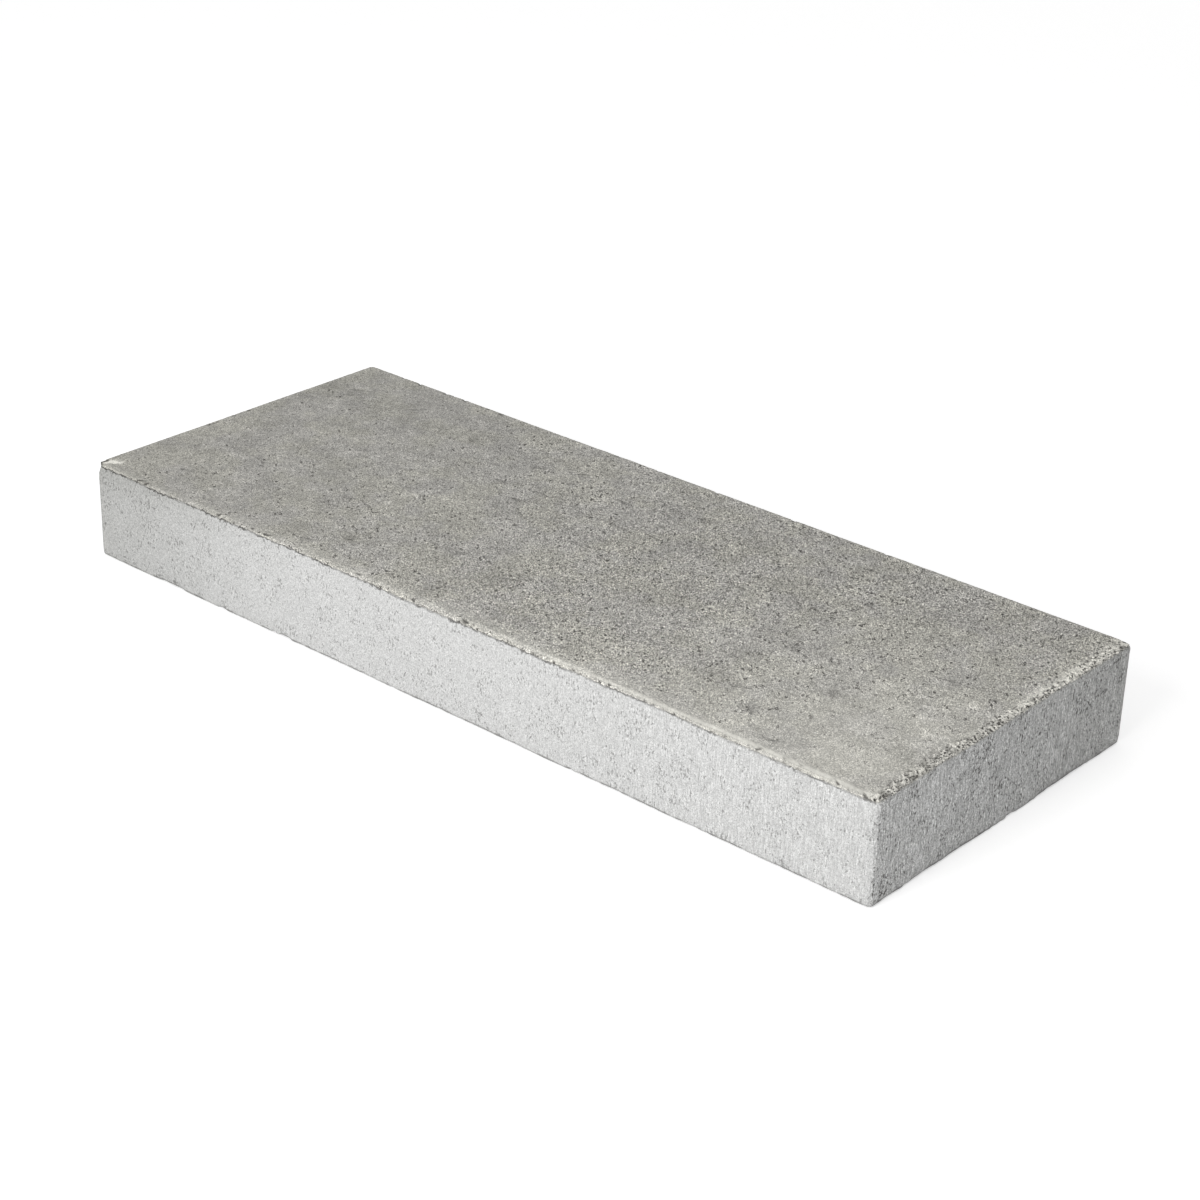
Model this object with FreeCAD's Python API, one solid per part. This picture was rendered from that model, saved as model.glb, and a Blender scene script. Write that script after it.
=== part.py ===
import FreeCAD, Part
import os
from math import sqrt

# Wall coping cap: one slab of vibro-pressed grey concrete.
# Millimetres, +Z up, +X along the wall. The origin is at the middle of the
# underside, so the slab lies on Z = 0 as it lies on its wall.

# Overall size
LENGTH = 600.0  # along the wall
WIDTH = 240.0  # across a 200 mm wall, with 20 mm of overhang on each side
THICKNESS = 63.0  # underside to the crest of the rim

# Edges that the mould box leaves
CORNER_RADIUS = 3.5  # the four upright corners
FOOT_RADIUS = 1.5  # lower edges, which stood on the production board

# Rim: mortar squeezed up round the tamper shoe as it presses the top face
RIM_WIDTH = 3.0  # on plan, from the mould face inwards
RIM_RISE = 0.5  # crest above the pressed field that it encloses
RIM_ROUND = 1.3  # outer rounding of the crest

# Crease: the seam that runs round the sides, just under the rim
CREASE_DROP = 1.9  # seam below the crest of the rim
CREASE_DEPTH = 0.4  # of a right-angled V, so it is twice as high as deep

# A rounding takes up at most this share of the wall it lies on
LARGEST_SHARE = 0.9

# How far a cutting solid runs past the surface that it opens
CUT_MARGIN = 1.0

CREASE_Z = THICKNESS - CREASE_DROP
FIELD_Z = THICKNESS - RIM_RISE


def outline(inset, z):
    """Rounded rectangle of the slab at height z, set in from the mould faces by inset."""
    half_x = LENGTH / 2 - inset
    half_y = WIDTH / 2 - inset
    radius = max(CORNER_RADIUS, 2 * inset) - inset
    # Distance from each side to the middle of a corner's arc
    bulge = radius * (1 - sqrt(0.5))
    quarter = [
        (half_x - radius, half_y),
        (half_x - bulge, half_y - bulge),
        (half_x, half_y - radius),
    ]
    corners = []
    for side_x, side_y in ((1, 1), (1, -1), (-1, -1), (-1, 1)):
        points = [FreeCAD.Vector(side_x * x, side_y * y, z) for x, y in quarter]
        # A corner mirrored once runs backwards, so it is turned round
        corners.append(points if side_x == side_y else points[::-1])
    edges = []
    for corner, following in zip(corners, corners[1:] + corners[:1]):
        edges.append(Part.Arc(*corner).toShape())
        edges.append(Part.LineSegment(corner[-1], following[0]).toShape())
    return Part.Wire(edges)


def layer(inset, bottom, top):
    """Upright solid between two heights, set in from the mould faces by inset."""
    return Part.Face(outline(inset, bottom)).extrude(FreeCAD.Vector(0, 0, top - bottom))


def edges_at(shape, z):
    """The level edges of a shape at height z."""
    return [edge for edge in shape.Edges if all(abs(v.Z - z) < 1e-6 for v in edge.Vertexes)]


def body():
    """The slab from its bed to the seam: rounded foot, upper edges cut back to the seam."""
    block = layer(0, 0, CREASE_Z)
    foot = min(FOOT_RADIUS, LARGEST_SHARE * CORNER_RADIUS)
    block = block.makeFillet(foot, edges_at(block, 0))
    return block.makeChamfer(CREASE_DEPTH, edges_at(block, CREASE_Z))


def rim():
    """The slab above the seam: rounded crest, with the pressed field sunk inside it."""
    cap = layer(0, CREASE_Z, THICKNESS)
    cap = cap.makeChamfer(CREASE_DEPTH, edges_at(cap, CREASE_Z))
    rounding = min(RIM_ROUND, LARGEST_SHARE * (CREASE_DROP - CREASE_DEPTH))
    cap = cap.makeFillet(rounding, edges_at(cap, THICKNESS))
    field = layer(RIM_WIDTH, FIELD_Z, THICKNESS + CUT_MARGIN)
    field = field.makeChamfer(RIM_RISE, edges_at(field, FIELD_Z))
    return cap.cut(field)


def coping_cap():
    """The whole slab, one solid."""
    return body().fuse(rim()).removeSplitter()


os.makedirs("parts", exist_ok=True)
for name, make in {"coping_cap": coping_cap}.items():
    shape = make()
    if not shape.isValid() or len(shape.Solids) != 1:
        raise ValueError(f"{name} is not one valid solid")
    solid = shape.Solids[0]
    solid.exportStep(f"parts/{name}.step")
    size = solid.optimalBoundingBox(False)
    print(
        f"{name}: {size.XLength:.1f} x {size.YLength:.1f} x {size.ZLength:.1f} mm,"
        f" {solid.Volume / 1e6:.3f} litres, {len(solid.Faces)} faces"
    )
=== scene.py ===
"""Wall coping cap: one slab of vibro-pressed grey concrete.

In metres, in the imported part's own frame.
"""

import math

import bpy
import numpy as np
from bpy.props import FloatProperty, FloatVectorProperty, IntProperty, PointerProperty
from bpy.types import Operator, Panel, PropertyGroup
from mathutils import Matrix, Vector


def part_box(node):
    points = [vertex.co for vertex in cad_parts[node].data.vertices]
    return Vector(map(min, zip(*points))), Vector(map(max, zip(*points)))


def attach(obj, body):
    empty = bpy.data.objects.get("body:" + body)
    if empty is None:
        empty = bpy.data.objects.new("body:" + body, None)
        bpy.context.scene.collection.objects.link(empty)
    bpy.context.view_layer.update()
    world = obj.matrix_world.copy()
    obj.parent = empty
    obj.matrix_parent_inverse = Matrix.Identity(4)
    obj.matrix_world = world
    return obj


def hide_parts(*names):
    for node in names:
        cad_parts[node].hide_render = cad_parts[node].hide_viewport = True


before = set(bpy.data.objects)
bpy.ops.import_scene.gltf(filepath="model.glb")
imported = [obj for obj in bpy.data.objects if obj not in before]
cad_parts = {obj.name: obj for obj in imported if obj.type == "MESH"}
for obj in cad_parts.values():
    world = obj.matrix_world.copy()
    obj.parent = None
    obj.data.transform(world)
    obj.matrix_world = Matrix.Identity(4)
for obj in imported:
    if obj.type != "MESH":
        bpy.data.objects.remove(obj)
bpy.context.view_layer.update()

bl_info = {
    "name": "Wall coping cap",
    "version": (1, 0, 0),
    "blender": (4, 5, 0),
    "location": "3D View > Sidebar > Coping",
    "description": "Builds a pressed concrete coping slab with its finish, and a plain studio for it",
    "category": "Object",
}

NODE = "coping_cap"
MM = 0.001

# The box that the slab fills
BOX_LOW, BOX_HIGH = (np.array(corner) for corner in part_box(NODE))
HALF_LENGTH, HALF_WIDTH = (BOX_HIGH - BOX_LOW)[:2] / 2
THICKNESS = (BOX_HIGH - BOX_LOW)[2]


def linear(code):
    """An sRGB hex colour as linear numbers: c / 12.92 near black, and otherwise
    ((c + 0.055) / 1.055) to the power of 2.4."""
    shares = [int(code[i:i + 2], 16) / 255 for i in (0, 2, 4)]
    return tuple(c / 12.92 if c <= 0.04045 else ((c + 0.055) / 1.055) ** 2.4 for c in shares)


def length_setting(name, description, default):
    """A length in metres that the user can change."""
    return FloatProperty(
        name=name, description=description, default=default, min=0.0, precision=5, unit="LENGTH"
    )


def colour_setting(name, description, code):
    """A colour that the user can change, with its default as an sRGB hex value."""
    return FloatVectorProperty(
        name=name, description=description, default=linear(code), size=3, min=0.0, max=1.0,
        subtype="COLOR",
    )


class CopingShape(PropertyGroup):
    """Sizes of the slab's edges and of the marks that pressing leaves."""

    corner_radius: length_setting("Corner radius", "Upright corners, from the mould box", 3.5 * MM)
    foot_radius: length_setting("Foot radius", "Lower edges, which stood on the board", 1.5 * MM)
    rim_width: length_setting("Rim width", "Squeezed-up rim round the top face, on plan", 3 * MM)
    rim_rise: length_setting("Rim rise", "Crest of the rim above the pressed field", 0.5 * MM)
    rim_round: length_setting("Rim rounding", "Outer rounding of the crest", 1.3 * MM)
    seam_drop: length_setting("Seam drop", "Seam below the crest of the rim", 1.9 * MM)
    seam_depth: length_setting("Seam depth", "Depth of the V of the seam", 0.4 * MM)
    pit_radius: length_setting("Pit radius", "Middle size of the pits in the top face", 0.8 * MM)
    seed: IntProperty(name="Seed", description="Picks another set of pits", default=7, min=0)


class CopingFinish(PropertyGroup):
    """Colours of the concrete."""

    pressed: colour_setting("Pressed face", "Cement and sand of the tamped top face", "acaaa5")
    pressed_warm: colour_setting("Pressed face, sandy", "Sandier clouds on the top face", "adaba3")
    skin: colour_setting("Mould skin", "Cement skin of the sides", "c7c7c6")
    # The worn skin colour also paints shade on the sides towards the left end and the back
    skin_worn: colour_setting("Mould skin, worn", "Sides where the skin is thin", "a9a9a6")
    # The fines colour also paints a highlight along the front edge and the right end, and a pool of
    # light round the front right corner
    fines: colour_setting("Fines", "Pale fines in the rim and round the front corner", "dcdad2")
    # This colour is painted shade: inside pores, pits and the seam, between crumbs and along the lower
    # edge
    shade_in_hollows: colour_setting("Pore", "Inside of pores and of the seam", "42403c")
    quartz: colour_setting("Quartz", "Pale grains that catch the light", "e8e6e0")


class CopingStudio(PropertyGroup):
    """Light and floor of the studio."""

    key_power: FloatProperty(
        name="Key light", description="Power of the soft box in front", default=10.5, min=0.0,
        unit="POWER",
    )
    sky_strength: FloatProperty(
        name="Sky", description="Even light from all round", default=0.6, min=0.0
    )
    floor: colour_setting("Floor", "Plain pale floor", "ececec")


# Columns round the slab: edges along a long side, along a short side and round a corner
LONG_EDGES, SHORT_EDGES, BEND_EDGES = 720, 464, 16

# Which columns a ring keeps: every one at the rim, fewer at the foot, few on the faces
CLOSE, NEAR, WIDE, BROAD = 1, 2, 4, 8

# Between these insets the rings turn from the rounded outline into the border of a plain grid
MELD_START, MELD_END = 4 * MM, 12 * MM

# Insets of the rings: one on the field, those from there to the rim, and those underneath
FIELD_INSET = 9.5 * MM
TOP_INSETS = np.array([7.8, 6.6, 5.8, 5.0, 4.3, 3.6, 3.0, 2.2]) * MM
BED_INSETS = ((3.2 * MM, NEAR), (5 * MM, WIDE), (8 * MM, BROAD))

# Rings of the top face that are set in less than this keep every column
CLOSE_INSET = 7 * MM

# The rim falls to the field between these shares of its width
FALL_START, FALL_END = 0.8, 2.3

# Rings close under the seam, as drops from its lower edge
UNDER_SEAM = (0.8 * MM, 1.8 * MM)

# Drops from the middle of the seam to the first ring with fewer columns, and to the plain rows
SEAM_TO_NEAR, SEAM_TO_WIDE = 3.6 * MM, 5.5 * MM

# Rows up the plain part of the sides, and the heights of the rings above the foot
SIDE_ROWS, SIDE_LOW = 17, 8 * MM
FOOT_HEIGHTS = (5.6 * MM, 4.3 * MM, 3.1 * MM)

# Steps round the rim's crest and round the foot
CREST_STEPS, FOOT_STEPS = 3, 4

SIDE_ANGLES = np.arange(4) * math.pi / 2
ALONG = np.stack([np.cos(SIDE_ANGLES), np.sin(SIDE_ANGLES), np.zeros(4)], axis=1)
OUTWARD = np.stack([np.sin(SIDE_ANGLES), -np.cos(SIDE_ANGLES), np.zeros(4)], axis=1)


def smooth(value, start, end):
    """A step from 0 at start to 1 at end, 3t^2 - 2t^3 between. It falls if start is above end."""
    t = np.clip((value - start) / (end - start), 0, 1)
    return t * t * (3 - 2 * t)


def columns():
    """The columns of a ring, counter-clockwise from the middle of the front left corner.

    Each has four numbers: its place along the straight run of its side from -1 to 1, its turn
    round a corner from -45 to 45 degrees, its place along the side with sharp corners from -1
    to 1, and the number of its side.
    """
    half_bend = BEND_EDGES / 2
    sides = []
    for side in range(4):
        straight = (LONG_EDGES, SHORT_EDGES)[side % 2]
        step = np.arange(straight + BEND_EDGES)
        run = 2 * np.clip((step - half_bend) / straight, 0, 1) - 1
        into = np.clip(step / half_bend - 1, -1, 0)
        out_of = np.clip((step - half_bend - straight) / half_bend, 0, 1)
        even = 2 * step / len(step) - 1
        sides.append(np.stack([run, (into + out_of) * math.pi / 4, even, np.full(len(step), side)]))
    return np.concatenate(sides, axis=1)


def ring(inset, height, keep, shape):
    """One level ring of points round the slab.

    With a and b the half sizes less the inset, and r the corner radius less the inset, the
    rounded outline goes (a - r) run + r sin(turn) along its side and (b - r) + r cos(turn) out
    of it. The sharp outline goes a even along and b out. The ring passes from the first to
    the second as the inset grows.
    """
    run, turn, even, side = columns()[:, ::keep]
    side = side.astype(int)
    lengthwise = side % 2 == 0
    a = np.where(lengthwise, HALF_LENGTH, HALF_WIDTH) - inset
    b = np.where(lengthwise, HALF_WIDTH, HALF_LENGTH) - inset
    r = max(shape.corner_radius, 2 * inset) - inset
    meld = smooth(inset, MELD_START, MELD_END)
    along = (1 - meld) * ((a - r) * run + r * np.sin(turn)) + meld * a * even
    out = (1 - meld) * ((b - r) + r * np.cos(turn)) + meld * b
    points = ALONG[side] * along[:, None] + OUTWARD[side] * out[:, None]
    points[:, 2] = height
    return points


def quarter(radius, steps):
    """A quarter circle as pairs of inset and drop: r (1 - sin t), r (1 - cos t)."""
    turn = np.linspace(0, math.pi / 2, steps + 1)
    return list(zip(radius * (1 - np.sin(turn)), radius * (1 - np.cos(turn))))


def profile(shape):
    """The slab's edge as rows of inset, height and columns kept, from the top to the underside.

    The field rises to the rim along a smooth step, a quarter circle rounds its crest, a V
    makes the seam, and another quarter circle rounds the foot.
    """
    crest, seam, depth = THICKNESS, THICKNESS - shape.seam_drop, shape.seam_depth
    rows = [(FIELD_INSET, crest - shape.rim_rise, WIDE)]
    for inset in TOP_INSETS:
        fall = smooth(inset, FALL_START * shape.rim_width, FALL_END * shape.rim_width)
        rows.append((inset, crest - shape.rim_rise * fall, CLOSE if inset < CLOSE_INSET else NEAR))
    rows += [(inset, crest - drop, CLOSE) for inset, drop in quarter(shape.rim_round, CREST_STEPS)]
    rows += [(0, seam + depth, CLOSE), (depth, seam, CLOSE), (0, seam - depth, CLOSE)]
    rows += [(0, seam - depth - drop, CLOSE) for drop in UNDER_SEAM]
    rows += [(0, seam - SEAM_TO_NEAR, NEAR)]
    rows += [(0, height, WIDE) for height in np.linspace(seam - SEAM_TO_WIDE, SIDE_LOW, SIDE_ROWS)]
    rows += [(0, height, NEAR) for height in FOOT_HEIGHTS]
    rows += [(inset, height, NEAR) for height, inset in quarter(shape.foot_radius, FOOT_STEPS)]
    rows += [(inset, 0, keep) for inset, keep in BED_INSETS]
    return rows


def face_grid(height, keep):
    """The points of a plain grid inside the rings, as an array of rows."""
    across = (LONG_EDGES + BEND_EDGES) // keep + 1
    deep = (SHORT_EDGES + BEND_EDGES) // keep + 1
    x = np.linspace(-1, 1, across) * (HALF_LENGTH - MELD_END)
    y = np.linspace(-1, 1, deep) * (HALF_WIDTH - MELD_END)
    return np.stack(np.meshgrid(x, y, [height], indexing="xy"), axis=-1)[:, :, 0]


def border(grid):
    """The border of a grid of indices, in the order of a ring's columns."""
    return np.concatenate([grid[0, :-1], grid[:-1, -1], grid[-1, :0:-1], grid[:0:-1, 0]])


def cells(grid):
    """The quads of a grid of indices, facing up if its rows run along X and then Y."""
    quads = [grid[:-1, :-1], grid[:-1, 1:], grid[1:, 1:], grid[1:, :-1]]
    return np.stack([corner.ravel() for corner in quads], axis=1)


def band(upper, lower):
    """The faces between two rings of indices, as quads and triangles.

    Rings with the same columns are joined by quads. Where one has twice as many, three
    triangles fill each pair of its edges.
    """
    upper_next, lower_next = np.roll(upper, -1), np.roll(lower, -1)
    if len(upper) == len(lower):
        return np.stack([upper, lower, lower_next, upper_next], axis=1), np.empty((0, 3), int)
    if len(upper) < len(lower):
        start, middle, end = lower[::2], lower[1::2], lower_next[1::2]
        fans = [(upper, start, middle), (upper, middle, upper_next), (upper_next, middle, end)]
    else:
        start, middle, end = upper[::2], upper[1::2], upper_next[1::2]
        fans = [(start, lower, middle), (middle, lower, lower_next), (middle, lower_next, end)]
    return np.empty((0, 4), int), np.concatenate([np.stack(fan, axis=1) for fan in fans])


class Slab:
    """The slab's points and faces, the grid of its top face, and the masks on its points."""

    def __init__(self, shape):
        rings = [ring(*row, shape) for row in profile(shape)]
        top, bed = face_grid(THICKNESS - shape.rim_rise, WIDE), face_grid(0, BROAD)
        parts = [top.reshape(-1, 3), *rings, bed.reshape(-1, 3)]
        self.points = np.concatenate(parts)
        ends = np.cumsum([len(part) for part in parts])
        first, *spans, last = [np.arange(end - len(part), end) for end, part in zip(ends, parts)]
        self.top = first.reshape(top.shape[:2])
        bed = last.reshape(bed.shape[:2])
        edges = [border(self.top), *spans, border(bed)]
        bands = [band(upper, lower) for upper, lower in zip(edges, edges[1:])]
        self.quads = np.concatenate(
            [cells(self.top), *(quads for quads, _ in bands), cells(bed)[:, ::-1]]
        )
        self.triangles = np.concatenate([triangles for _, triangles in bands])
        self.masks = {"pit": np.zeros(len(self.points))}

    def facings(self, faces):
        """Each face's outward direction, as long as twice its area: the cross product of its
        diagonals, or of two edges of a triangle."""
        corners = self.points[faces]
        return np.cross(corners[:, 2] - corners[:, 0], corners[:, -1] - corners[:, 1])

    def normals(self):
        """Each point's outward direction: the sum of its faces' directions, made one long."""
        total = np.zeros_like(self.points)
        for faces in (self.quads, self.triangles):
            facing = self.facings(faces)
            for corner in faces.T:
                np.add.at(total, corner, facing)
        return total / np.linalg.norm(total, axis=1, keepdims=True)


# The unrolled sheet is this large. Its parts lie apart by the gap.
SHEET = 0.72
SHEET_GAP = 5 * MM

# A face is laid flat from above or below if its direction is at least this much upright
FLAT_SHARE = 0.75


def sheet_places(slab):
    """Each face corner's place on the unrolled sheet, from 0 to 1.

    A face that looks up or down is laid flat from above or below, and any other from the side
    that it looks towards: u = p . U + shift and v = p . V + shift, with two directions U and V
    and a shift for each part of the sheet.
    """
    x, y, z = np.eye(3)
    width, height = 2 * HALF_WIDTH + SHEET_GAP, THICKNESS + SHEET_GAP
    centre = HALF_LENGTH + SHEET_GAP
    first, second = (width + SHEET_GAP) / 2, (3 * width + SHEET_GAP) / 2
    lift = 2 * width + SHEET_GAP
    # The top face, the underside, then the front, right, back and left sides
    u_axes = np.array([x, x, *ALONG])
    v_axes = np.array([y, -y, z, z, z, z])
    shifts = np.array([
        (centre, first), (centre, second), (centre, lift), (first, lift + 2 * height),
        (centre, lift + height), (second, lift + 2 * height),
    ])
    places = []
    for faces in (slab.quads, slab.triangles):
        facing = slab.facings(faces)
        facing /= np.linalg.norm(facing, axis=1, keepdims=True)
        part = 2 + (facing @ OUTWARD.T).argmax(axis=1)
        part[facing[:, 2] > FLAT_SHARE] = 0
        part[facing[:, 2] < -FLAT_SHARE] = 1
        corners = slab.points[faces]
        flat = [np.einsum("fcx,fx->fc", corners, axes[part]) for axes in (u_axes, v_axes)]
        places.append((np.stack(flat, axis=-1) + shifts[part][:, None]).reshape(-1, 2))
    return np.concatenate(places) / SHEET


# A pit takes a block of points this far each way from its middle, and blocks lie apart
PIT_REACH, PIT_STEP = 3, 8

# From the middle of a block outwards: shares of the pit's radius and of its depth
PIT_RADII = np.array([0.0, 0.55, 1.0, 1.3])
PIT_DEPTHS = np.array([1.0, 0.8, 0.0, 0.0])

# A pit lies at most this far from the middle of its block, along X and along Y
PIT_STRAY = 5 * MM

# This share of the blocks has a pit
PIT_SHARE = 0.6

# The least and the most of a pit's radius as a share of the middle one, of its depth as a
# share of its radius, and of the turn of its outline
PIT_LEAST, PIT_MOST = (0.5, 0.5, 0), (1.4, 1.1, 6.3)


def sink_pits(slab, radius, random):
    """Draws blocks of the top face's points together into pits.

    A pit lies near its block's middle. A point that is d steps from the middle of the block
    keeps its direction from the pit and takes a distance and a depth that depend on d. Its
    distance also swells and shrinks round the pit as 1 + 0.3 cos(2t + w) + 0.15 cos(3t + 5w),
    with t its bearing and w the pit's random turn.
    """
    down, right = (np.arange(PIT_REACH, size - PIT_REACH, PIT_STEP) for size in slab.top.shape)
    places = np.stack(np.meshgrid(down, right, indexing="ij"), axis=-1).reshape(-1, 2)
    places = places[random.random(len(places)) < PIT_SHARE]
    offset = np.arange(-PIT_REACH, PIT_REACH + 1)
    row_step, column_step = (step.ravel() for step in np.meshgrid(offset, offset, indexing="ij"))
    block = slab.top[places[:, :1] + row_step, places[:, 1:] + column_step]
    corners = slab.points[block]
    stray = random.uniform(-PIT_STRAY, PIT_STRAY, (len(block), 1, 3)) * (1, 1, 0)
    middle = corners[:, len(offset) ** 2 // 2][:, None] + stray
    away = corners - middle
    direction = away / np.maximum(np.linalg.norm(away, axis=2, keepdims=True), 1e-9)
    steps_out = np.maximum(np.abs(row_step), np.abs(column_step))
    bearing = np.arctan2(row_step, column_step)
    size, depth, turn = random.uniform(PIT_LEAST, PIT_MOST, (len(block), 3)).T[..., None]
    swell = 1 + 0.3 * np.cos(2 * bearing + turn) + 0.15 * np.cos(3 * bearing + 5 * turn)
    reach = radius * size * swell * PIT_RADII[steps_out]
    sunk = radius * size * depth * PIT_DEPTHS[steps_out]
    corners = middle + direction * reach[..., None]
    corners[..., 2] -= sunk
    slab.points[block] = corners
    slab.masks["pit"][block] = PIT_DEPTHS[steps_out]


# Odd numbers that mix a cell's three indices and the seed into one, and then its bits
CELL_MIX = np.array([73856093, 19349663, 83492791], dtype=np.uint64)
SEED_MIX = 2654435761
BIT_MIX = np.uint64(0x9E3779B97F4A7C15)
LOW_BITS = 0xFFFFFF

# The lattice of the noise is turned on plan, so that no row of it runs along a side
LATTICE_TURN = 0.6


def cell_values(cell, seed):
    """A random number from -1 to 1 for each whole-number cell.

    The three indices and the seed are each multiplied by an odd number and added up. The sum
    is twice folded onto its own high bits and multiplied, and 24 of its bits are the number.
    """
    mixed = (cell.astype(np.uint64) * CELL_MIX).sum(axis=-1) + np.uint64(seed * SEED_MIX)
    for fold in (29, 32):
        mixed = (mixed ^ (mixed >> np.uint64(fold))) * BIT_MIX
    return (mixed >> np.uint64(24) & np.uint64(LOW_BITS)) / (LOW_BITS / 2) - 1


def lattice(points, size, tall=1.0):
    """Each point's cell in a lattice of the given size, and its place in the cell from 0 to 1."""
    cos, sin = math.cos(LATTICE_TURN), math.sin(LATTICE_TURN)
    scaled = points @ np.array([(cos, sin, 0), (-sin, cos, 0), (0, 0, 1 / tall)]) / size
    cell = np.floor(scaled).astype(np.int64)
    return cell, scaled - cell


def noise(points, size, seed, tall=1.0):
    """Smooth random numbers from -1 to 1: a random value at each corner of a lattice of the
    given size, joined along each axis by 3t^2 - 2t^3. A tall lattice is stretched upwards."""
    cell, part = lattice(points, size, tall)
    blend = part * part * (3 - 2 * part)
    total = np.zeros(len(points))
    for corner in np.ndindex(2, 2, 2):
        weight = np.where(corner, blend, 1 - blend).prod(axis=1)
        total += weight * cell_values(cell + np.array(corner), seed)
    return total


def crumbs(points, size, seed):
    """Heights from 0 to 1 of a layer of crumbs. Each cell of a lattice holds one at a random
    place, and a point takes the largest 1 - (d / r)^2 of the crumbs near it, with d its
    distance from the crumb's middle and r the crumb's random radius. The points are first
    shifted by noises half as wide as the lattice, so the crumbs aren't round."""
    shift = np.stack([noise(points, 0.5 * size, seed + axis) for axis in (4, 5, 6)], axis=1)
    cell, part = lattice(points + 0.3 * size * shift, size)
    height = np.zeros(len(points))
    for corner in np.ndindex(3, 3, 3):
        step = np.array(corner) - 1
        place = np.stack([cell_values(cell + step, seed + axis) for axis in range(3)], axis=1)
        radius = 0.58 + 0.28 * cell_values(cell + step, seed + 3)
        away = step + 0.5 + 0.4 * place - part
        height = np.maximum(height, 1 - (away ** 2).sum(axis=1) / radius ** 2)
    return height


def worn_away(points, place, reach, depth):
    """The depth of a chip round a place: it falls from the full depth to 0 at the reach."""
    away = np.linalg.norm(points - place, axis=1)
    return depth * smooth(away, reach, 0)


class Zones:
    """How much each point belongs to each part of the slab, from 0 to 1.

    Each zone is a product of smooth steps of the height and of the inset, which is how far a
    point lies from the nearest side face on plan.
    """

    def __init__(self, slab, shape):
        self.points, self.normals = slab.points, slab.normals()
        self.x, self.y, self.z = self.points.T
        self.inset = np.minimum(HALF_LENGTH - np.abs(self.x), HALF_WIDTH - np.abs(self.y))
        self.seam = THICKNESS - shape.seam_drop
        # All above the seam, and the rim, which is the outer part of that
        self.upper = smooth(self.z, self.seam - 0.3 * MM, self.seam + 0.5 * MM)
        self.rim = self.upper * smooth(self.inset, 4.5 * MM, 2 * MM)
        # The upright faces, and their part below the seam
        self.wall = smooth(self.inset, 1.2 * MM, 0.2 * MM)
        self.side = self.wall * (1 - self.upper)
        # The lower edge, and the flat underside within it
        self.foot = smooth(self.z, 6 * MM, 0.5 * MM) * smooth(self.inset, 8 * MM, 3 * MM)
        self.bed = smooth(self.z, 0.6 * MM, 0.1 * MM) * smooth(self.inset, 3 * MM, 6 * MM)
        # The rim and its fines grow from the left end towards the right
        self.grown = smooth(self.x, -300 * MM, 220 * MM)
        # The right end's rim is a band of loose crumbs, mostly 4 to 10 mm wide
        width = 7 + 3.5 * noise(self.points, 14 * MM, 21) + 1.5 * noise(self.points, 4 * MM, 22)
        self.rough = self.upper * smooth(self.x - HALF_LENGTH + width * MM, -1.5 * MM, 1.5 * MM)


def face_depth(at):
    """The depth of the plain faces, in metres.

    All are almost flat, with waves 45 mm wide. Up the sides run drag marks, along which the
    mould was lifted off: a noise 3 mm wide and 12 times as tall.
    """
    waves = 0.08 * MM * (1 + noise(at.points, 45 * MM, 1))
    return waves + at.side * 0.04 * MM * (1 + noise(at.points, 3 * MM, 2, 12))


# Crumbs lie at most this far in from the sides
CRUMB_REACH = 12 * MM


def rim_crumbs(at):
    """The heights, from 0 to 1, of the rim's fine crumbs and of its coarse and fine ones mixed."""
    fine, coarse = np.zeros((2, len(at.points)))
    near = at.upper * (at.inset < CRUMB_REACH) > 0
    fine[near] = crumbs(at.points[near], 1.4 * MM, 30)
    coarse[near] = crumbs(at.points[near], 2.4 * MM, 40)
    return fine, 0.7 * coarse + 0.3 * fine


def rim_depth(at, fine, coarse):
    """The depth of the rim, in metres.

    Between its fine crumbs it is 0.13 mm deep at the left end and 0.04 mm towards the right,
    where its outer edge is lowered by up to 0.4 mm into a rounder bead. On the right end it is
    1.2 mm deep between the coarse crumbs, less 0.5 mm inside the crest, where they stand prouder.
    """
    crumbed = (1 - at.rough) * at.rim * (0.13 - 0.09 * at.grown) * (1 - fine)
    bead = 0.4 * at.rim * at.grown * smooth(at.inset, 4.5 * MM, 0.5 * MM)
    proud = smooth(at.inset, 2.5 * MM, 4 * MM)
    loose = at.rough * (1.2 * (1 - coarse) - 0.5 * proud)
    return (crumbed + bead * at.normals[:, 2].clip(0) + loose) * MM


# Where the rim has lost larger crumbs along the front, in mm from the middle. These holes
# reach this far, and the small ones all round are this deep.
RIM_HOLES = (-172, -122, 70, 99, 155)
HOLE_REACH, HOLE_DEPTH = 1.7 * MM, 0.6 * MM


def rim_holes(at):
    """Holes in the rim, from which a crumb has fallen, as shares of their usual depth.

    Small ones lie all round, where a sum of noises 3 and 11 mm wide passes 0.72, and a few
    larger ones along the front, which are half as deep again.
    """
    holes = smooth(noise(at.points, 3 * MM, 5) + 0.5 * noise(at.points, 11 * MM, 6), 0.72, 0.9)
    for x in RIM_HOLES:
        middle = (x * MM, 0.5 * MM - HALF_WIDTH, at.seam + 0.6 * MM)
        holes = np.maximum(holes, worn_away(at.points, middle, HOLE_REACH, 1.5))
    return at.rim * holes


def foot_depth(at):
    """The depth of the ragged, slightly wavy foot, in metres.

    In mm it is 0.3 plus waves 55 and 17 mm wide and roughness 3 mm wide, where that is more
    than 0, and 0.7 more in the longer bites, where a noise passes 0.55.
    """
    waves = 0.45 * noise(at.points, 55 * MM, 8) + 0.3 * noise(at.points, 17 * MM, 9)
    ragged = 0.2 * noise(at.points, 3 * MM, 10)
    bites = smooth(noise(at.points, 21 * MM, 13) + 0.3 * noise(at.points, 5 * MM, 14), 0.55, 0.7)
    return at.foot * (np.maximum(0.3 + waves + ragged, 0) + 0.7 * bites) * MM


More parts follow.
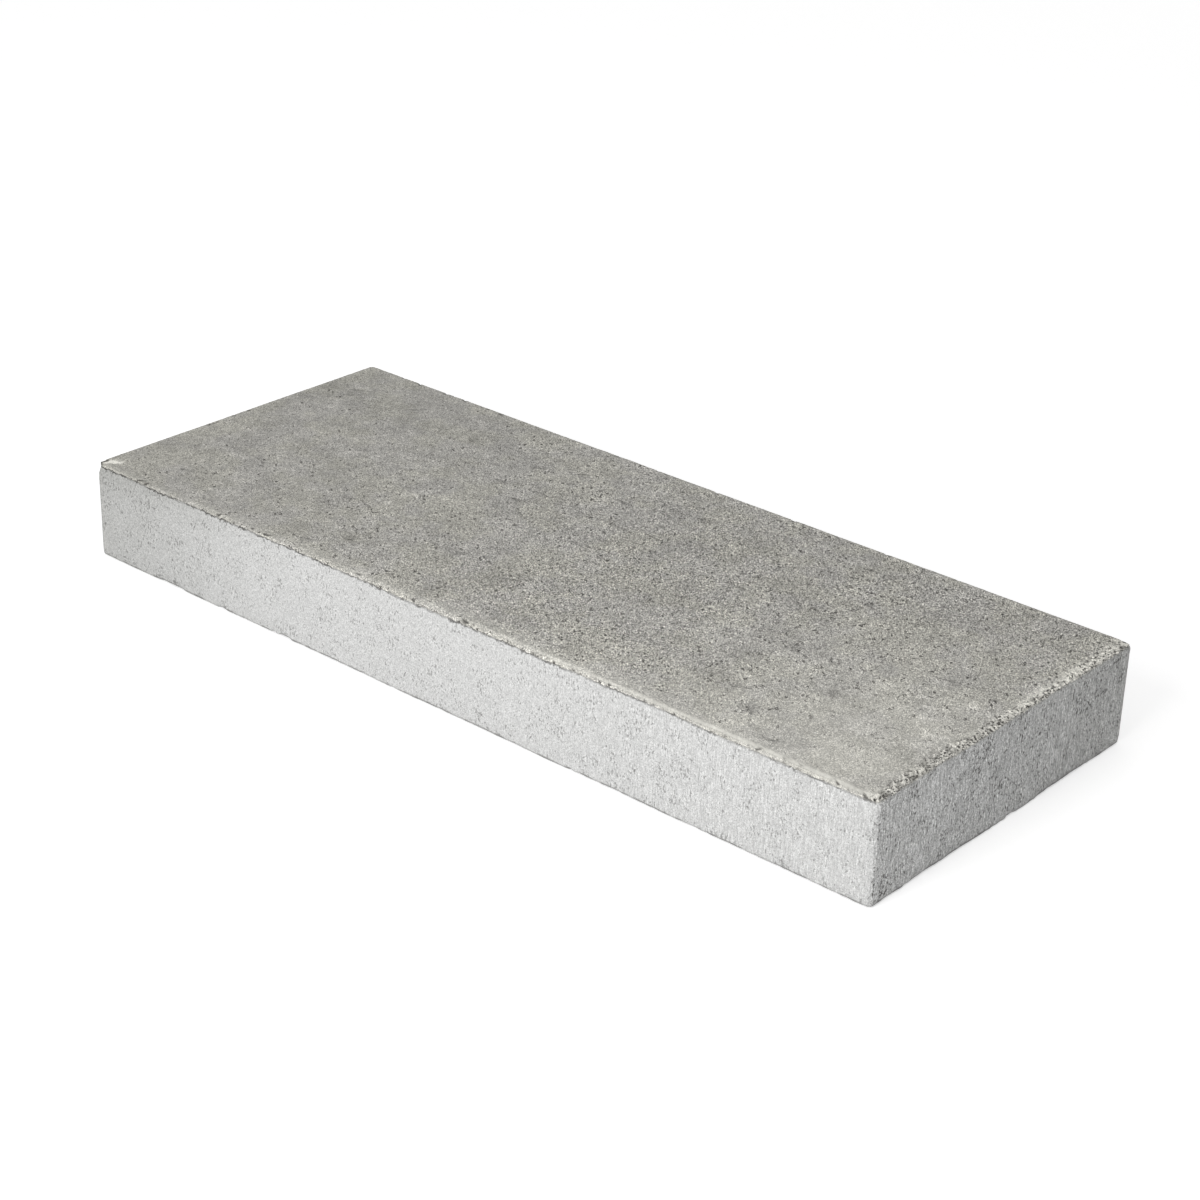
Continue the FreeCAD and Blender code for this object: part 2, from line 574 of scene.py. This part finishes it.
# The front left top corner is knocked off, this far round it and this deep
CORNER = np.array((-HALF_LENGTH, -HALF_WIDTH, THICKNESS))
CORNER_REACH, CORNER_DEPTH = 9 * MM, 2.2 * MM

# Flakes off the top face beside it, in mm: X and Y from the corner, and reach
FLAKES = ((4, 6, 4.5), (7, 9, 4.5), (10, 11, 3))
SCAR_DEPTH = 0.3 * MM


def corner_scar(at):
    """The pale scar that the flakes have left, from 0 to 1. The square of a noise 2 mm wide
    makes its edge uneven."""
    flakes = [
        worn_away(at.points, CORNER + np.array((x, y, 0)) * MM, reach * MM, 1.8)
        for x, y, reach in FLAKES
    ]
    uneven = 0.5 * noise(at.points, 2 * MM, 23) ** 2
    return at.upper * np.clip(np.max(flakes, axis=0) - uneven, 0, 1)


def shift_seam(slab, at, depth):
    """Moves the seam up and down, and fills it in at the right end.

    It wanders because the mortar rose unevenly: by a sum of noises 60, 14 and 3.5 mm wide,
    which fades out 5 mm under the seam and at the crest. The depth is that of its V.
    """
    near = smooth(at.z, at.seam - 5 * MM, at.seam - 1 * MM) * at.wall
    near = near * smooth(at.z, THICKNESS, at.seam + 0.4 * MM)
    wander = 0.7 * noise(at.points, 60 * MM, 11) + 0.4 * noise(at.points, 14 * MM, 12)
    wander += 0.3 * noise(at.points, 3.5 * MM, 15)
    slab.points[:, 2] += near * wander * MM
    filled = smooth(at.x, HALF_LENGTH - 2 * MM, HALF_LENGTH - 0.5 * MM)
    slab.points[:, 0] += filled * smooth(at.inset, 0, depth) * at.side * depth


def fines_and_highlight_mask(at, scar):
    """How far pale fines and a painted highlight cover the top face, from 0 to 1.

    Fines lie along the front in a band that grows wider and paler to the right. A painted highlight,
    where the rounded crest tilts towards the lamp, makes it palest just inside the crest. A narrower
    band along the right end is partly fines and partly a painted highlight on crumbs that catch the
    light. Fines lie thinly along the other two sides, and in the scar.
    """
    front = HALF_WIDTH + at.y
    # The crest band is a painted highlight, where the rounded crest tilts towards the lamp
    crest = smooth(front, 0.8 * MM, 2.2 * MM) * smooth(front, 6.5 * MM, 2.5 * MM)
    along = (0.1 + 0.4 * at.grown) * smooth(front, (14 + 20 * at.grown) * MM, 2 * MM) ** 2
    along += (0.1 + 0.55 * at.grown ** 2) * crest
    right = 0.75 * smooth(HALF_LENGTH - at.x, 12 * MM, 4 * MM)
    around = 0.12 * smooth(at.inset, 7 * MM, 2 * MM)
    return at.upper * np.max([along, right, around, scar], axis=0)


# The height above or below the seam is kept up to this much
RISE_LIMIT = 4 * MM


def add_relief(slab, shape):
    """Moves the slab's points inwards to the surface that pressing leaves, and adds its masks.

    The depth is a sum of noises, each with a seed of its own and limited to its zone.
    """
    at = Zones(slab, shape)
    fine, coarse = rim_crumbs(at)
    holes, scar = rim_holes(at), corner_scar(at)
    depth = face_depth(at) + rim_depth(at, fine, coarse) + foot_depth(at)
    depth += holes * HOLE_DEPTH + scar * SCAR_DEPTH
    depth += worn_away(at.points, CORNER, CORNER_REACH, CORNER_DEPTH)
    slab.points = at.points - at.normals * (depth * (1 - at.bed))[:, None]
    shift_seam(slab, at, shape.seam_depth)
    # Painted highlight on the tops of the crumbs and painted shade in the gaps between them
    crumb = at.rough * (1.7 * coarse - 0.15)
    crumb += (1 - at.rough) * at.rim * (0.3 - 0.15 * at.grown) * (fine - 0.3)
    gap_shade = 0.5 * at.rough * smooth(coarse, 0.2, 0.05)
    slab.masks |= {
        "pressed": at.upper,
        "fines": fines_and_highlight_mask(at, scar),
        "loose": at.rough,
        # The crumbs' painted light and shade, and the paler scar
        "crumb": crumb + 0.7 * scar,
        "rise": np.clip(at.z - at.seam, -RISE_LIMIT, RISE_LIMIT),
        "bed": at.bed,
        # Pits, rim holes and the gaps between crumbs, which the finish darkens with painted shade
        "pit": np.max([slab.masks["pit"], holes.clip(0, 1), gap_shade], axis=0),
    }


def coping_slab_mesh(shape):
    """The whole slab as one closed mesh, with its unrolled sheet and the masks on its points."""
    random = np.random.default_rng(shape.seed)
    slab = Slab(shape)
    sink_pits(slab, shape.pit_radius, random)
    places = sheet_places(slab)
    add_relief(slab, shape)
    points = np.clip(slab.points, BOX_LOW, BOX_HIGH)
    mesh = bpy.data.meshes.new("coping_slab")
    mesh.from_pydata(points.tolist(), [], slab.quads.tolist() + slab.triangles.tolist())
    mesh.shade_smooth()
    mesh.uv_layers.new(name="OFBake").data.foreach_set("uv", places.ravel())
    for name, values in slab.masks.items():
        mesh.attributes.new(name, "FLOAT", "POINT").data.foreach_set("value", values)
    return mesh


def is_closed(mesh):
    """Whether each edge of a mesh has exactly two faces."""
    edges = np.empty(len(mesh.loops), dtype=np.int32)
    mesh.loops.foreach_get("edge_index", edges)
    return bool((np.bincount(edges) == 2).all())


def add(tree, kind, inputs=None, output=0, **settings):
    """Adds a node, sets its properties, gives its inputs numbers or links, and returns an output."""
    node = tree.nodes.new(kind)
    for name, value in settings.items():
        setattr(node, name, value)
    for name, value in (inputs or {}).items():
        socket = node.inputs[name]
        if isinstance(value, bpy.types.NodeSocket):
            tree.links.new(value, socket)
        elif socket.type == "RGBA":
            socket.default_value = (*value, 1.0)
        else:
            socket.default_value = value
    return node.outputs[output] if node.outputs else None


def new_tree(owner):
    """The emptied node tree of a material or a world."""
    owner.use_nodes = True
    owner.node_tree.nodes.clear()
    return owner.node_tree


def product(tree, *factors):
    """All the factors multiplied together."""
    total = factors[0]
    for factor in factors[1:]:
        total = add(tree, "ShaderNodeMath", {0: total, 1: factor}, operation="MULTIPLY")
    return total


def largest(tree, *patterns):
    """The largest of the patterns."""
    most = patterns[0]
    for pattern in patterns[1:]:
        most = add(tree, "ShaderNodeMath", {0: most, 1: pattern}, operation="MAXIMUM")
    return most


def plus(tree, start, *terms):
    """A start value with patterns added to it, each times its weight."""
    for pattern, weight in terms:
        start = add(tree, "ShaderNodeMath", {0: pattern, 1: weight, 2: start}, operation="MULTIPLY_ADD")
    return start


def between(tree, factor, start, end):
    """A number between two numbers."""
    return add(tree, "ShaderNodeMapRange", {"Value": factor, "To Min": start, "To Max": end})


def mix(tree, factor, start, end):
    """A colour between two colours. In colour mode they are inputs 6 and 7, and output 2."""
    return add(tree, "ShaderNodeMix", {"Factor": factor, 6: start, 7: end}, output=2, data_type="RGBA")


def shade(tree, pattern, swing, low=0.3, high=0.7):
    """A pattern turned into a factor that swings as far below 1 as above it."""
    return add(tree, "ShaderNodeMapRange", {
        "Value": pattern, "From Min": low, "From Max": high, "To Min": 1 - swing, "To Max": 1 + swing,
    })


def mask(tree, pattern, start, end):
    """A pattern turned into 0 before start, 1 after end, and a smooth step between them."""
    return add(tree, "ShaderNodeMapRange", {
        "Value": pattern, "From Min": start, "From Max": end,
    }, interpolation_type="SMOOTHSTEP")


def spots(tree, place, spacing, radius, share, edge=0.5):
    """Scattered spots round the middles of a share of random cells: 0 outside the radius and 1
    within half of it. The edge is a noise round 0.5 that makes them ragged."""
    distance = add(tree, "ShaderNodeTexVoronoi", {"Vector": place, "Scale": 1 / spacing})
    chance = add(tree, "ShaderNodeSeparateColor", {0: distance.node.outputs["Color"]})
    chosen = add(tree, "ShaderNodeMath", {0: chance, 1: share}, operation="LESS_THAN")
    ragged = plus(tree, distance, (edge, 1.0))
    inside = mask(tree, ragged, 0.5 + radius / spacing, 0.5 + 0.5 * radius / spacing)
    return product(tree, chosen, inside)


def grains(tree, place, size):
    """A random number from 0 to 1 for each of many close-packed cells, as sand grains have."""
    cell = add(tree, "ShaderNodeTexVoronoi", {"Vector": place, "Scale": 1 / size}, output="Color")
    return add(tree, "ShaderNodeSeparateColor", {0: cell})


def lumps(tree, place, size, detail=2):
    """A noise whose lumps are as wide as the size."""
    return add(tree, "ShaderNodeTexNoise", {
        "Vector": place, "Scale": 1 / size, "Detail": detail, "Roughness": 0.6,
    })


def stretched(tree, place, along_y=1.0, along_z=1.0, turn=0.0):
    """A place that draws a pattern longer along Y or Z, and turned about Z."""
    return add(tree, "ShaderNodeMapping", {
        "Vector": place, "Rotation": (0, 0, turn), "Scale": (1, along_y, along_z),
    }, vector_type="TEXTURE")


# Widths of the lumps of cement and sand, from soft clouds down to coarse grit
CLOUD_SIZE, CLOD_SIZE, GRIT_SIZE, GRAVEL_SIZE = 28 * MM, 9 * MM, 2.4 * MM, 1.7 * MM

# The real sand is 0.3 to 1 mm, and is drawn 0.6 mm wide. The dust between its grains is too
# fine to show, so it is drawn 0.45 mm wide. They give the surface a relief this deep.
SAND_SIZE, DUST_SIZE, GRAIN_DEPTH = 0.6 * MM, 0.45 * MM, 0.15 * MM

# Real grains stand up, so they look round from a low angle too. These are flat, so they are
# drawn this much longer across the slab, at a slant.
GRAIN_STRETCH, GRAIN_TURN = 1.6, 0.7


class Patterns:
    """Places, masks and noises that the parts of the concrete's finish share."""

    def __init__(self, tree):
        self.place = add(tree, "ShaderNodeTexCoord", output="Object")
        self.x, self.y, self.z = (
            add(tree, "ShaderNodeSeparateXYZ", {0: self.place}, output=axis) for axis in "XYZ"
        )
        self.pressed, self.fines, self.crumb, self.loose, self.rise, self.bed, self.pit = (
            add(tree, "ShaderNodeAttribute", output="Fac", attribute_name=name)
            for name in ("pressed", "fines", "crumb", "loose", "rise", "bed", "pit")
        )
        self.right_end = mask(tree, self.x, 298.5 * MM, 300 * MM)
        # A painted pool of light round the front right corner: full within 20 mm of it and gone 260 mm
        # away
        away = add(tree, "ShaderNodeVectorMath", {
            0: self.place, 1: (HALF_LENGTH, -HALF_WIDTH, THICKNESS),
        }, output="Value", operation="DISTANCE")
        self.corner = mask(tree, away, 260 * MM, 20 * MM)
        self.clouds = lumps(tree, self.place, CLOUD_SIZE, detail=3)
        self.clods = lumps(tree, self.place, CLOD_SIZE)
        self.slanted = stretched(tree, self.place, along_y=GRAIN_STRETCH, turn=GRAIN_TURN)
        self.grit = lumps(tree, self.slanted, GRIT_SIZE)
        self.gravel = lumps(tree, self.slanted, GRAVEL_SIZE, detail=1)
        self.sand = grains(tree, self.slanted, SAND_SIZE)
        self.dust = lumps(tree, self.slanted, DUST_SIZE, detail=0)


def top_colour(tree, seen, finish):
    """The tamped top: grey and sandy clouds, a salt-and-pepper grain, pale fines, and painted light on
    the front edge, the front right corner and the rim's crumbs.
    """
    # The noise of the clouds has three channels, and the third one places the sandy clouds
    sandy = add(tree, "ShaderNodeSeparateColor", {0: seen.clouds.node.outputs["Color"]}, output="Blue")
    top = mix(tree, mask(tree, sandy, 0.4, 0.6), finish.pressed, finish.pressed_warm)
    # Fines lie along the rim, and a painted pool of light lies, in lumps, round the front right corner
    corner = product(tree, seen.corner, plus(tree, 0.28, (seen.clouds, 0.28)))
    pale = largest(
        tree, product(tree, seen.fines, mask(tree, seen.clods, 0.1, 0.4)), corner,
        product(tree, mask(tree, seen.clods, 0.55, 0.75), 0.16),
    )
    top = mix(tree, pale, top, finish.fines)
    # Cement mutes the grain towards the left end, where painted shade of the light's falloff also
    # darkens it a little, and the fines and the painted pool of light round the front right corner mute
    # it
    faint = product(tree, shade(tree, seen.sand, 0.28, 0, 1), shade(tree, seen.dust, 0.4), 0.96)
    strong = product(tree, shade(tree, seen.sand, 0.5, 0, 1), shade(tree, seen.dust, 0.7))
    grain = between(tree, mask(tree, seen.x, -280 * MM, 40 * MM), faint, strong)
    muted = plus(tree, product(tree, pale, 0.7), (seen.corner, 0.25))
    # The crumb mask paints light on the tops of the rim's crumbs and shade between them, and pales the
    # scar
    factor = product(
        tree, shade(tree, seen.clouds, 0.14), shade(tree, seen.clods, 0.1), shade(tree, seen.grit, 0.1),
        between(tree, muted, grain, 1.0), shade(tree, seen.crumb, 0.4, -1, 1),
    )
    return add(tree, "ShaderNodeVectorMath", {0: top, "Scale": factor}, operation="SCALE")


def side_colour(tree, seen, finish):
    """The sides: a pale skin of cement, with fine upright drag marks from the mould, and painted shade
    towards the left end and the back.
    """
    # The sides are darker towards the left end, partly from a thinner skin and partly as painted shade
    # where the light falls off, and darker still near the top at the left end. Painted shade darkens
    # them towards the back, and the skin is thin on the underside
    left = mask(tree, seen.x, -100 * MM, -300 * MM)
    thin = plus(
        tree, product(tree, seen.clouds, 0.2),
        (left, 0.32), (product(tree, left, mask(tree, seen.z, 40 * MM, 62 * MM)), 0.2),
        (mask(tree, seen.y, -80 * MM, 120 * MM), 0.24), (seen.bed, 0.2),
    )
    skin = mix(tree, mask(tree, thin, 0.02, 0.68), finish.skin, finish.skin_worn)
    # Drag marks are 0.7 mm wide, and clearer towards the right end
    drag = shade(tree, lumps(tree, stretched(tree, seen.place, along_z=10), 0.7 * MM), 0.18)
    marked = between(tree, mask(tree, seen.x, -100 * MM, 250 * MM), 1.0, drag)
    flecks = grains(tree, stretched(tree, seen.place, along_z=1.3), SAND_SIZE)
    smooth_side = product(tree, shade(tree, flecks, 0.16, 0, 1), shade(tree, seen.dust, 0.15))
    # The right end is rougher, because the mould left it last
    rough_side = product(tree, shade(tree, flecks, 0.32, 0, 1), shade(tree, seen.dust, 0.32), drag)
    flecked = between(tree, seen.right_end, smooth_side, rough_side)
    factor = product(tree, shade(tree, seen.clods, 0.03), marked, flecked)
    return thin, add(tree, "ShaderNodeVectorMath", {0: skin, "Scale": factor}, operation="SCALE")


def pore_shade_mask(tree, seen, thin):
    """Painted shade in pores: plucked grains in loose groups on the top, and upright holes in the
    sides. Their bump gives them some real shade too.
    """
    # On the top: shallow ones and deep ones, both in groups, fewer to the left, in the fines and in the
    # painted pool of light round the front right corner
    tight = plus(
        tree, product(tree, seen.fines, 0.12), (mask(tree, seen.x, 60 * MM, -300 * MM), 0.1),
        (seen.corner, 0.04),
    )
    shallow = plus(tree, seen.gravel, (seen.clods, 0.5), (tight, -1.0))
    share = product(tree, mask(tree, plus(tree, seen.clods, (tight, -1.0)), 0.42, 0.62), 0.6)
    deep = spots(tree, seen.slanted, 3 * MM, 1.1 * MM, share, edge=seen.dust)
    hole = mask(tree, plus(tree, seen.grit, (seen.clouds, 0.3), (tight, -0.5)), 0.8, 0.825)
    plucked = largest(tree, product(tree, mask(tree, shallow, 0.94, 1.0), 0.8), deep, hole)
    # Fewer within the painted pool of light round the front right corner
    plucked = product(tree, plucked, between(tree, mask(tree, seen.corner, 0.5, 1.0), 1.0, 0.45))
    # Painted shade between the loose crumbs of the right end's rim
    gap_shade = mask(tree, lumps(tree, seen.place, 1.5 * MM, detail=1), 0.55, 0.61)
    plucked = largest(tree, plucked, product(tree, gap_shade, seen.loose))
    plucked = product(tree, plucked, seen.pressed, 0.95)
    # On the sides: more where the skin is thin and where painted shade darkens it, and deeper ones in
    # the right end
    torn = lumps(tree, stretched(tree, seen.place, along_z=1.8), 1.2 * MM)
    torn = plus(tree, torn, (thin, 0.08), (seen.clods, 0.5), (seen.right_end, 0.01))
    torn = product(tree, mask(tree, torn, 0.86, 0.95), between(tree, seen.right_end, 0.5, 0.85))
    return largest(tree, plucked, product(tree, torn, plus(tree, 1.0, (seen.pressed, -1.0))))


def seam_shade_mask(tree, seen):
    """Painted shade in the seam under the rim, added to the shade of its V: a jagged crack about 1.1 mm
    high, uneven in depth.
    """
    # The height above the seam, with the noises added and half of their weights taken off
    jagged = plus(tree, -2.6 * MM, (seen.rise, 1.0), (seen.grit, 4 * MM), (seen.dust, 1.2 * MM))
    jagged = add(tree, "ShaderNodeMath", {0: jagged}, operation="ABSOLUTE")
    uneven = between(tree, mask(tree, seen.clods, 0.4, 0.55), 0.45, 0.9)
    # Its painted shade grows fainter to the right, and almost goes at the right end, where the V is
    # filled
    shallow = between(tree, mask(tree, seen.x, -300 * MM, 250 * MM), 1.0, 0.75)
    filled = between(tree, mask(tree, seen.x, 297 * MM, 299.5 * MM), shallow, 0.15)
    return product(tree, mask(tree, jagged, 0.75 * MM, 0.35 * MM), uneven, filled)


def foot_shade_mask(tree, seen):
    """Painted shade along the ragged lower edge, where it meets the floor: an uneven dark line about 2
    mm high.
    """
    low = plus(tree, seen.z, (seen.grit, -1.5 * MM), (seen.bed, 5 * MM))
    uneven = between(tree, mask(tree, seen.clods, 0.4, 0.6), 0.15, 0.6)
    return product(tree, mask(tree, low, 1.6 * MM, 0.8 * MM), uneven)


def pressed_concrete(finish):
    """Vibro-pressed concrete of grey cement and washed sand, earth-dry when it was tamped.

    It is matt. The tamped top shows the sand as a fine salt-and-pepper grain, with soft clouds
    where cement or sand has gathered, pits where a grain was plucked, a few pale quartz grains
    and scratches. The sides have a paler, tighter skin from the mould, with fine upright drag
    marks and small upright pores. The rim is pale crumbs of fines over a thin dark seam. Painted
    shade darkens the pores, pits, seam, lower edge and gaps between crumbs, and the sides towards
    the left end and the back. Painted light pales the crumbs' tops, the front edge and the front
    right corner.
    """
    material = bpy.data.materials.new("vibro_pressed_concrete")
    tree = new_tree(material)
    seen = Patterns(tree)
    thin, sides = side_colour(tree, seen, finish)
    colour = mix(tree, seen.pressed, sides, top_colour(tree, seen, finish))
    pores = pore_shade_mask(tree, seen, thin)
    # Painted shade in the seam, along the lower edge, in the pores and pits, and between the crumbs
    dark = largest(
        tree, seam_shade_mask(tree, seen), foot_shade_mask(tree, seen), pores, product(tree, seen.pit, 0.85)
    )
    colour = mix(tree, dark, colour, finish.shade_in_hollows)

    # Quartz grains, and scratches about 9 mm long from the stacking of the slabs
    scratched = stretched(tree, seen.place, along_y=9, turn=-0.9)
    bright = largest(
        tree, product(tree, mask(tree, seen.gravel, 0.34, 0.26), 0.4),
        spots(tree, seen.place, 6 * MM, 0.9 * MM, 0.15),
        product(tree, spots(tree, scratched, 9 * MM, 0.6 * MM, 0.3), 0.5),
    )
    colour = mix(tree, product(tree, bright, seen.pressed, 0.8), colour, finish.quartz)

    relief = plus(tree, seen.sand, (seen.dust, 1.0), (pores, -2.0))
    bump = add(tree, "ShaderNodeBump", {"Height": relief, "Distance": GRAIN_DEPTH, "Strength": 1.0})
    surface = add(tree, "ShaderNodeBsdfPrincipled", {
        "Base Color": colour, "Roughness": 0.92, "IOR": 1.5, "Normal": bump,
    })
    add(tree, "ShaderNodeOutputMaterial", {"Surface": surface})
    return material


# The camera looks along +Y, then is turned, tipped down, rolled and moved along its own axes.
# The move is in slab lengths.
VIEW_TURN, VIEW_TIP, VIEW_ROLL = math.radians(40.43), math.radians(26.013), math.radians(1.791)
VIEW_MOVE = Vector((0.0198, 0.0421, 2.5817))
VIEW_LENS, VIEW_SENSOR = 77.58, 36.0


def add_camera():
    """The camera at the photograph's angle."""
    data = bpy.data.cameras.new("camera")
    data.lens = VIEW_LENS
    data.sensor_width = VIEW_SENSOR
    camera = bpy.data.objects.new("camera", data)
    turn = Matrix.Rotation(VIEW_TURN, 4, "Z") @ Matrix.Rotation(math.pi / 2 - VIEW_TIP, 4, "X")
    roll = Matrix.Rotation(VIEW_ROLL, 4, "Z")
    camera.matrix_world = turn @ roll @ Matrix.Translation(VIEW_MOVE * 2 * HALF_LENGTH)
    bpy.context.scene.collection.objects.link(camera)
    bpy.context.scene.camera = camera


# The soft box stands in front of the slab and looks down at it
KEY_PLACE, KEY_AIM = Vector((0.12, -1.15, 0.62)), Vector((0.1, 0, 0.03))
KEY_SIZE = 0.8


def add_soft_box(power):
    """A square area lamp that lights the front and the top of the slab."""
    data = bpy.data.lights.new("key_light", "AREA")
    data.size = KEY_SIZE
    data.energy = power
    lamp = bpy.data.objects.new("key_light", data)
    lamp.location = KEY_PLACE
    lamp.rotation_euler = (KEY_AIM - KEY_PLACE).to_track_quat("-Z", "Y").to_euler()
    bpy.context.scene.collection.objects.link(lamp)


# The floor is this far across, and the camera sees it this much brighter than it is lit
FLOOR_SIZE = 16.0
FLOOR_LIFT = 0.45


def add_floor(colour):
    """A plain square of floor. The camera sees it lifted to white, with the slab's shadow."""
    half = FLOOR_SIZE / 2
    corners = [(-half, -half, 0), (half, -half, 0), (half, half, 0), (-half, half, 0)]
    mesh = bpy.data.meshes.new("floor")
    mesh.from_pydata(corners, [], [(0, 1, 2, 3)])
    material = bpy.data.materials.new("painted_studio_floor")
    tree = new_tree(material)
    seen = add(tree, "ShaderNodeLightPath", output="Is Camera Ray")
    surface = add(tree, "ShaderNodeBsdfPrincipled", {
        "Base Color": colour, "Roughness": 0.9, "Emission Color": linear("ffffff"),
        "Emission Strength": product(tree, seen, FLOOR_LIFT),
    })
    add(tree, "ShaderNodeOutputMaterial", {"Surface": surface})
    mesh.materials.append(material)
    floor = bpy.data.objects.new("floor", mesh)
    bpy.context.scene.collection.objects.link(floor)
    return floor


def add_sky(strength):
    """An even grey sky that is plain white where the camera, or a ray of gloss or glass, meets it."""
    world = bpy.data.worlds.new("studio_sky")
    tree = new_tree(world)
    seen = add(tree, "ShaderNodeLightPath", output="Is Camera Ray")
    rays = seen.node.outputs
    for ray in ("Is Glossy Ray", "Is Transmission Ray"):
        seen = add(tree, "ShaderNodeMath", {0: seen, 1: rays[ray]}, operation="MAXIMUM")
    level = add(tree, "ShaderNodeMapRange", {"Value": seen, "To Min": strength, "To Max": 1.0})
    sky = add(tree, "ShaderNodeBackground", {"Color": linear("ffffff"), "Strength": level})
    add(tree, "ShaderNodeOutputWorld", {"Surface": sky})
    bpy.context.scene.world = world


class MESH_OT_coping_slab(Operator):
    """Builds the slab with its rim, seam, pits and concrete finish"""

    bl_idname = "mesh.coping_slab_add"
    bl_label = "Coping Slab"

    def execute(self, context):
        mesh = coping_slab_mesh(context.scene.coping_shape)
        if not is_closed(mesh):
            raise RuntimeError("The slab's mesh has an open edge")
        mesh.materials.append(pressed_concrete(context.scene.coping_finish))
        slab = bpy.data.objects.new("coping_slab", mesh)
        context.scene.collection.objects.link(slab)
        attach(slab, "root")
        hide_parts(NODE)
        return {"FINISHED"}


class SCENE_OT_coping_studio(Operator):
    """Adds the floor, the soft light and the camera"""

    bl_idname = "scene.coping_studio_add"
    bl_label = "Studio"

    def execute(self, context):
        studio = context.scene.coping_studio
        context.scene.view_settings.view_transform = "Standard"
        add_floor(studio.floor)
        add_soft_box(studio.key_power)
        add_sky(studio.sky_strength)
        add_camera()
        return {"FINISHED"}


class VIEW3D_PT_coping(Panel):
    """The sizes and colours of the slab, and the buttons that build it"""

    bl_label = "Wall coping cap"
    bl_space_type = "VIEW_3D"
    bl_region_type = "UI"
    bl_category = "Coping"

    def draw(self, context):
        for name, group in SETTINGS.items():
            box = self.layout.box()
            for setting in group.__annotations__:
                box.prop(getattr(context.scene, name), setting)
        for operator in (MESH_OT_coping_slab, SCENE_OT_coping_studio):
            self.layout.operator(operator.bl_idname)


SETTINGS = {
    "coping_shape": CopingShape, "coping_finish": CopingFinish, "coping_studio": CopingStudio,
}
CLASSES = (*SETTINGS.values(), MESH_OT_coping_slab, SCENE_OT_coping_studio, VIEW3D_PT_coping)


def register():
    """Registers the classes and puts the settings on the scene."""
    for each in CLASSES:
        bpy.utils.register_class(each)
    for name, group in SETTINGS.items():
        setattr(bpy.types.Scene, name, PointerProperty(type=group))


def unregister():
    """Takes the settings off the scene and unregisters the classes."""
    for name in SETTINGS:
        delattr(bpy.types.Scene, name)
    for each in reversed(CLASSES):
        bpy.utils.unregister_class(each)


def main():
    """Builds the slab and its studio."""
    register()
    bpy.ops.mesh.coping_slab_add()
    bpy.ops.scene.coping_studio_add()


if __name__ == "__main__":
    main()
